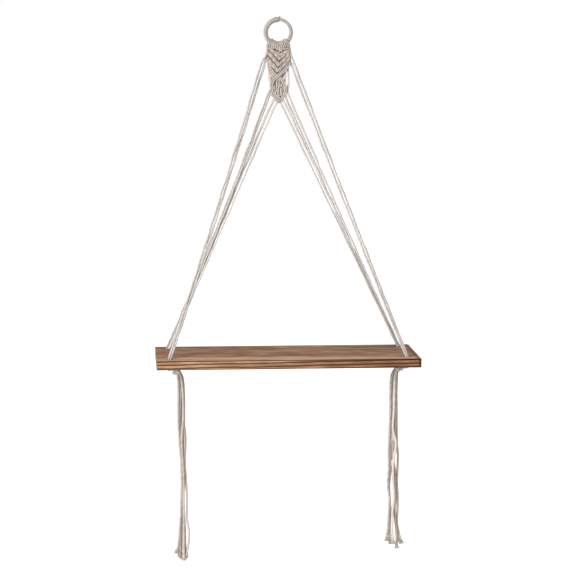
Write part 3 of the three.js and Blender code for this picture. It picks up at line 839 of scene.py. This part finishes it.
def add_arm(strands, number, thick, turns, route):
    """An arm of hitches: a straight strand inside, with the turns of the other strands round it."""
    route = lift(route, ARM["y"] + ARM["row_y"] * number)
    path = smooth(route, ARM["step"])
    strands.add(route, seed=SEEDS["arm"] + number)
    reach = (thick - HITCH["across"]) / 2
    side = 1 if route[0][0] < route[-1][0] else -1
    for turn in range(turns):
        place = (turn + 0.5) / turns * (len(path) - 1)
        i = min(max(int(place), 1), len(path) - 2)
        axis = path[i + 1] - path[i - 1]
        axis /= np.linalg.norm(axis)
        places = places_round(path[i], axis, reach, HITCH["degrees"], side * reach * HITCH["lean"])
        strands.add(
            places, across=HITCH["across"], lay=HITCH["lay"], step=FINE_STEP,
            seed=SEEDS["turns"] * number + turn, tone=HITCH["tones"][turn // 2 % 2],
        )


def add_larks_head_leg(strands, number):
    """Half of a lark's head: up behind the ring, over it, and straight down in front to the first V."""
    head = LARKS_HEADS
    turn = math.radians(head["spread"] * (2 * number / (head["strands"] - 1) - 1))
    outward = np.array([math.sin(turn), 0, -math.cos(turn)])
    middle = outward * RING["mean"] + RING_CENTRE
    wrap = RING["section"] / 2 + head["clear"] + STRAND / 2
    pair, in_pair = divmod(number, 2)
    pairs = head["strands"] / 2
    leg_x = head["pair_pitch"] * (pair - (pairs - 1) / 2) + head["in_pair"] * (in_pair - 0.5)
    apex_x, apex_z = head["apex"]
    leg_z = min(head["shortest"], apex_z + head["slope"] * abs(leg_x - apex_x))
    around = []
    for degrees in head["degrees"]:
        angle = math.radians(degrees)
        around.append(middle + wrap * (math.sin(angle) * np.array([0, 1, 0]) - math.cos(angle) * outward))
    slack = head["slack"]
    front_high, front_low = head["front_y"]
    back_low, back_high = head["back_y"]
    front = [(leg_x, front_high, (leg_z + around[-1][2]) / 2 - slack), (leg_x, front_low, leg_z - 1)]
    back = [(leg_x, back_low, leg_z), (leg_x, back_high, (leg_z + around[0][2]) / 2 - slack)]
    tone = np.random.default_rng(SEEDS["pair"] + pair).uniform(*head["tones"])
    places = [*back, *around, *front]
    strands.add(places, across=head["across"], step=FINE_STEP, seed=SEEDS["leg"] + number, tone=tone)


def add_band(strands, number, y, route):
    """Strands side by side along one route, which comes up from below what it starts under."""
    path = smooth(lift(route, y), BAND["step"])
    risen = np.arange(len(path)) * BAND["step"] / BAND["rises_over"]
    path[:, 1] += BAND["sunk"] * np.clip(1 - risen, 0, 1)
    slopes = np.gradient(path, axis=0)
    aside = np.column_stack([-slopes[:, 2], np.zeros(len(path)), slopes[:, 0]])
    aside /= np.linalg.norm(aside, axis=1)[:, None]
    for lane in BAND["lanes"]:
        seed = SEEDS["band"] + 10 * number + round(4 * lane)
        strands.add(path + aside * lane * BAND["apart"], across=BAND["across"], lay=BAND["lay"], seed=seed)


def add_linings(strands, strands_in_row, y, stagger, widest, half_widths, seed):
    """A row of strands side by side, which narrows and widens on its way down."""
    for number in range(strands_in_row):
        share = widest * (2 * number / (strands_in_row - 1) - 1)
        depth = y + stagger * (number % 2)
        places = [(share * width, depth, z) for z, width in half_widths]
        strands.add(places, across=LINING_ACROSS, seed=seed + number)


def add_under_ring(strands):
    """The bar of the lark's heads, which follows the ring just under it."""
    places = []
    for degrees in UNDER_RING["degrees"]:
        angle = math.radians(degrees)
        below = RING["centre_z"] - UNDER_RING["radius"] * math.cos(angle)
        places.append((UNDER_RING["radius"] * math.sin(angle), UNDER_RING["y"], below))
    strands.add(
        places, across=UNDER_RING["across"], step=FINE_STEP, seed=SEEDS["bar"], tone=UNDER_RING["tone"],
    )


def macrame_head():
    strands = Strands()
    for number in range(LARKS_HEADS["strands"]):
        add_larks_head_leg(strands, number)
    add_linings(strands, **BACKING)
    strands.add(step=FINE_STEP, seed=SEEDS["cross"], **CROSS_STRAND)
    add_under_ring(strands)
    for number, arm in enumerate(V_ARMS):
        add_arm(strands, number, *arm)
    for number, band in enumerate(BANDS):
        add_band(strands, number, *band)
    add_linings(strands, **LEAF_LININGS)
    for number, route in enumerate(LEAF_STRANDS):
        strands.add(route, step=FINE_STEP, seed=SEEDS["leaf"] + number, **LEAF_STRAND)
    for number, (x, z, tall, foot) in enumerate(LEAF_KNOTS):
        places = [(x + foot * share / 2, y, z - tall / 2 * share) for share, y in LEAF_KNOT_SIDE]
        strands.add(places, step=FINE_STEP, seed=SEEDS["leaf_knot"] + number, **LEAF_KNOT)
    strands.piece("macrame_knots", cottons["head"], "cotton", "macrame_head")


macrame_head()


# The slings, with their runs under the board

def sling_route(name, strand):
    """A strand's places, from the head down to its hole, through it and on to the gathering knot."""
    row, side = name.split("_")
    lane_x, lane_y = (lane * SPACING for lane in strand["lane"])
    hole = np.array([hole_x[side] + lane_x, hole_y[row] + lane_y, BOARD["top"]])
    exit_place = np.array(strand["exit"], float)
    direction = hole - exit_place
    direction /= np.linalg.norm(direction)
    turn = hole - direction * SLING_TURN
    run = []
    for share, sag in SLING_SAG:
        place = exit_place + (turn - exit_place) * share
        run.append(place + (strand["bow"] * sag, 0, 0))
    towards = 1 if row == "front" else -1
    knot_x, knot_z = TASSELS[side]["knot"]
    row_depth = UNDER["front_row"] if row == "front" else ROW - strand["lane"][1] * towards
    level = underside - GAP - STRAND / 2 - row_depth * SPACING
    share = UNDER["dip_share"]
    entry_z = knot_z + KNOT_ENTRY["z"] + strand["lane"][1] * towards * SPACING
    under = [
        hole - (0, 0, BOARD["thickness"] + UNDER["straight"]),
        (hole[0], hole[1] + towards * UNDER["bend_y"], level - UNDER["bend_z"]),
        (hole[0] + (knot_x - hole[0]) * share, hole[1] + (board_y - hole[1]) * share, level - UNDER["dip"]),
        (knot_x + lane_x, board_y - towards * KNOT_ENTRY["y"], entry_z),
    ]
    return [*strand["root"], *run, hole, *under]


for name, table in SLINGS.items():
    cords = Strands()
    for number, strand in enumerate(table):
        cords.add(
            sling_route(name, strand), across=SLING_STRAND, drift=SLING_DRIFT, seed=len(name) * 10 + number,
            tone=SLING_TONES[name][number], depth=SLING_GROOVE,
        )
    cords.piece("cords_" + name, cottons["slings"], "cotton", "sling_" + name, "under_" + name)


# The gathering knots and the tassels

def add_knot(strands, side):
    """The gathering knot: turns that lean across each other round the bundle, and a lump beside them."""
    tassel = TASSELS[side]
    knot_x, knot_z = tassel["knot"]
    axis = np.array([tassel["lean"], 0.0, -KNOT["height"]])
    axis /= np.linalg.norm(axis)
    turns = KNOT["turns"]
    for turn in range(turns):
        share = (turn + 0.5) / turns - 0.5
        middle = np.array([knot_x, board_y, knot_z]) + axis * KNOT["height"] * KNOT["filled"] * share
        reach = (KNOT["across"] - STRAND) / 2 * (1 - KNOT["narrows"] * share * share)
        places = places_round(middle, axis, reach, KNOT["degrees"], KNOT["lean"], KNOT["phase"] * turn)
        strands.add(places, step=FINE_STEP, seed=SEEDS["knot"] + turn, tone=KNOT["tone"])
    lump_x, lump_z = tassel["lump"]
    lump = np.array([lump_x, board_y - LUMP["front"], lump_z])
    reach = (LUMP["across"] - LUMP["strand"]) / 2
    for turn, around in enumerate(LUMP["axes"]):
        axis = np.array(around) / np.linalg.norm(around)
        aside = np.cross(axis, (0.3, 1, 0.2))  # any direction across the axis
        aside /= np.linalg.norm(aside)
        beside = np.cross(axis, aside)
        angles = np.radians(LUMP["degrees"])
        places = [lump + reach * (aside * math.cos(a) + beside * math.sin(a)) for a in angles]
        strands.add(
            places, across=LUMP["strand"], step=FINE_STEP, seed=SEEDS["lump"] + turn, tone=LUMP["tone"],
        )


def add_brush(strands, path, seed):
    """The untwisted end of a tail: many fine yarns that spread out like a brush."""
    rng = np.random.default_rng(seed)
    back_steps = round(BRUSH["root"] / STEP)
    root, tip = path[-back_steps], path[-1]
    direction = tip - root
    direction /= np.linalg.norm(direction)
    side = np.cross(direction, (0, 1, 0.1))  # about the board's length, as the brush hangs down
    side /= np.linalg.norm(side)
    beside = np.cross(direction, side)
    for yarn in range(BRUSH["yarns"]):
        angle = rng.uniform(0, 2 * math.pi)
        out = side * math.cos(angle) + beside * BRUSH["flat"] * math.sin(angle)
        share = math.sqrt((yarn + 0.5) / BRUSH["yarns"])
        start = path[-rng.integers(back_steps // 2, back_steps + 1)]
        first = BRUSH["start"] * share
        reach = share * BRUSH["spread"] * rng.uniform(*BRUSH["reach"])
        end = tip + out * reach + direction * rng.uniform(*BRUSH["beyond"])
        halfway = (start + tip) / 2 + out * (first + BRUSH["halfway"] * reach)
        points = smooth([start + out * first, halfway, end], BRUSH["step"])
        radii = np.linspace(1, BRUSH["tip"], len(points)) * BRUSH["yarn"] / 2
        untwisted = np.zeros(len(points))
        strands.add_tube(points, radii, untwisted, 0, BRUSH["sides"], rng.uniform(*BRUSH["tones"]))


def knot_tassel(side):
    strands = Strands()
    tassel = TASSELS[side]
    knot_x, knot_z = tassel["knot"]
    add_knot(strands, side)
    for number, (depth, end) in enumerate(zip(tassel["depths"], tassel["ends"])):
        hanging = [(row[number + 1], board_y + depth, row[0]) for row in tassel["rows"]]
        root = (knot_x + (hanging[0][0] - knot_x) * TAIL["root_share"], board_y + depth / 2, knot_z)
        tone = tassel["tone"] + TAIL["tones"][number]
        places = [root, *hanging, end]
        path = strands.add(places, TAIL["across"], TAIL["lay"], seed=SEEDS["tail"] + number, tone=tone)
        add_brush(strands, path, SEEDS["brush"] + number)
    strands.piece("tassel_" + side, cottons["tassels"], "cotton", "knot_tassel_" + side)


for side in TASSELS:
    knot_tassel(side)


# The board keeps its own shape

def dress_board():
    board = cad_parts["board"]
    board.data.materials.clear()
    board.data.materials.append(wood)


dress_board()


# Light, floor and background

FLOOR = {"size": 30, "z": -1.3, "grey": 0.95, "glow": 0.25}  # in metres, like all of the stage
KEY_LIGHT = {"place": (-2.1, -2.0, 0.6), "aim": (0, 0, -0.3), "size": 1.1, "power": 135}


def add_area_light(name, place, aim, size, power):
    data = bpy.data.lights.new(name, "AREA")
    data.shape = "DISK"
    data.size = size
    data.energy = power
    light = bpy.data.objects.new(name, data)
    light.location = place
    light.rotation_euler = (Vector(aim) - Vector(place)).to_track_quat("-Z", "Y").to_euler()
    bpy.context.scene.collection.objects.link(light)


def add_stage():
    world = bpy.data.worlds.new("studio")
    world.use_nodes = True
    background = world.node_tree.nodes["Background"]
    background.inputs["Color"].default_value = WHITE
    background.inputs["Strength"].default_value = 1.0
    bpy.context.scene.world = world
    bpy.context.scene.view_settings.view_transform = "Standard"
    bpy.ops.mesh.primitive_plane_add(size=FLOOR["size"], location=(0, 0, FLOOR["z"]))
    floor = bpy.context.object
    floor.name = "floor"
    floor.data.materials.append(Paint("pale_floor").finish(
        Base_Color=grey(FLOOR["grey"]), Roughness=1.0, Emission_Color=WHITE, Emission_Strength=FLOOR["glow"],
    ))
    add_area_light("key", **KEY_LIGHT)


add_stage()
